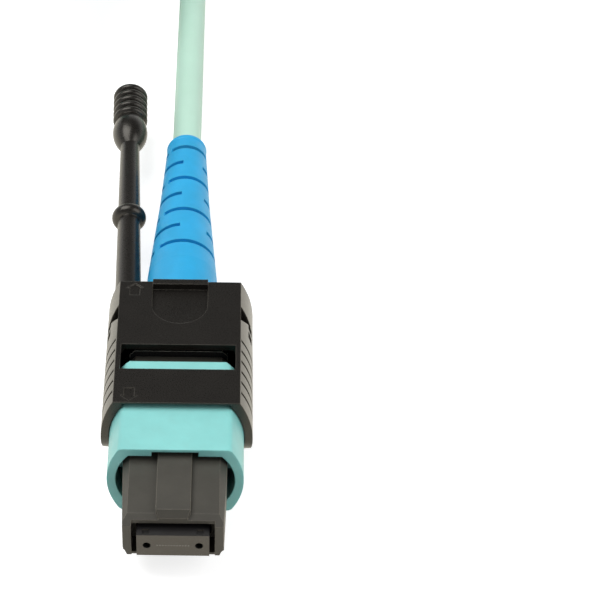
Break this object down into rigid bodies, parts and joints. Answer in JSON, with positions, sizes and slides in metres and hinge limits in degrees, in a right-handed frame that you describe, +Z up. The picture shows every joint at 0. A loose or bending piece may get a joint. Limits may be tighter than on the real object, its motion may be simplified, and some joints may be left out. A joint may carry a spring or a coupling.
{
  "type": "mpo fibre connector",
  "caption": "Push-pull multi-fibre plug with keyed nose, guide holes, sliding coupling, tab with pull rod and slotted boot, on a tied round patch cable.",
  "frame": {"origin": "centre of the ferrule's end face", "axes": "-Y is the mating direction, +X right seen from behind the plug, +Z up on the key side; the plug lies on the flat underside of its tab"},
  "size_m": [0.0325, 0.1826, 0.0186],
  "materials": {
    "ferrule_resin": "ground glass-filled resin",
    "inner_rubber": "matt",
    "fibre": "smooth",
    "spring_steel": "drawn wire",
    "black_housing": "moulded, satin",
    "black_tab": "moulded, fine texture",
    "aqua_coupling": "moulded, satin gloss",
    "blue_boot": "soft satin",
    "crimp_metal": "nickel plated",
    "tie_strap": "woven hook-and-loop strap",
    "cable_jacket": "satin"
  },
  "bodies": {
    "root": {"main_spring": "spring_steel", "inner_housing": "black_housing", "back_post": "black_housing", "coupling_spring_left": "spring_steel", "coupling_spring_right": "spring_steel", "crimp_ring": "crimp_metal", "boot": "blue_boot", "far_main_spring": "spring_steel", "far_inner_housing": "black_housing", "far_back_post": "black_housing", "far_coupling_spring_left": "spring_steel", "far_coupling_spring_right": "spring_steel", "far_crimp_ring": "crimp_metal", "far_boot": "blue_boot", "cable_run": "cable_jacket", "cable_hank": "cable_jacket", "hank_tie": "tie_strap", "far_cable_run": "cable_jacket"},
    "sliding_shell": {"coupling": "aqua_coupling", "pull_tab": "black_tab"},
    "floating_ferrule": {"ferrule": "ferrule_resin", "ferrule_boot": "inner_rubber", "fibre_ribbon": "fibre", "pin_keeper": "spring_steel"},
    "far_sliding_shell": {"far_coupling": "aqua_coupling", "far_pull_tab": "black_tab"},
    "far_floating_ferrule": {"far_ferrule": "ferrule_resin", "far_ferrule_boot": "inner_rubber", "far_fibre_ribbon": "fibre", "far_pin_keeper": "spring_steel"}
  },
  "joints": [
    {"name": "shell_slide", "type": "slide", "parent": "root", "child": "sliding_shell", "axis": [0, 1, 0], "range_m": [0, 0.002], "stiffness_N_per_m": 100, "springref_m": -0.002, "deforming": ["coupling_spring_left", "coupling_spring_right"]},
    {"name": "ferrule_float", "type": "slide", "parent": "root", "child": "floating_ferrule", "axis": [0, 1, 0], "range_m": [0, 0.001], "stiffness_N_per_m": 30, "springref_m": -0.002, "deforming": ["main_spring"]},
    {"name": "far_shell_slide", "type": "slide", "parent": "root", "child": "far_sliding_shell", "axis": [0, 1, 0], "range_m": [0, 0.002], "stiffness_N_per_m": 100, "springref_m": -0.002, "deforming": ["far_coupling_spring_left", "far_coupling_spring_right"]},
    {"name": "far_ferrule_float", "type": "slide", "parent": "root", "child": "far_floating_ferrule", "axis": [0, 1, 0], "range_m": [0, 0.001], "stiffness_N_per_m": 30, "springref_m": -0.002, "deforming": ["far_main_spring"]}
  ]
}
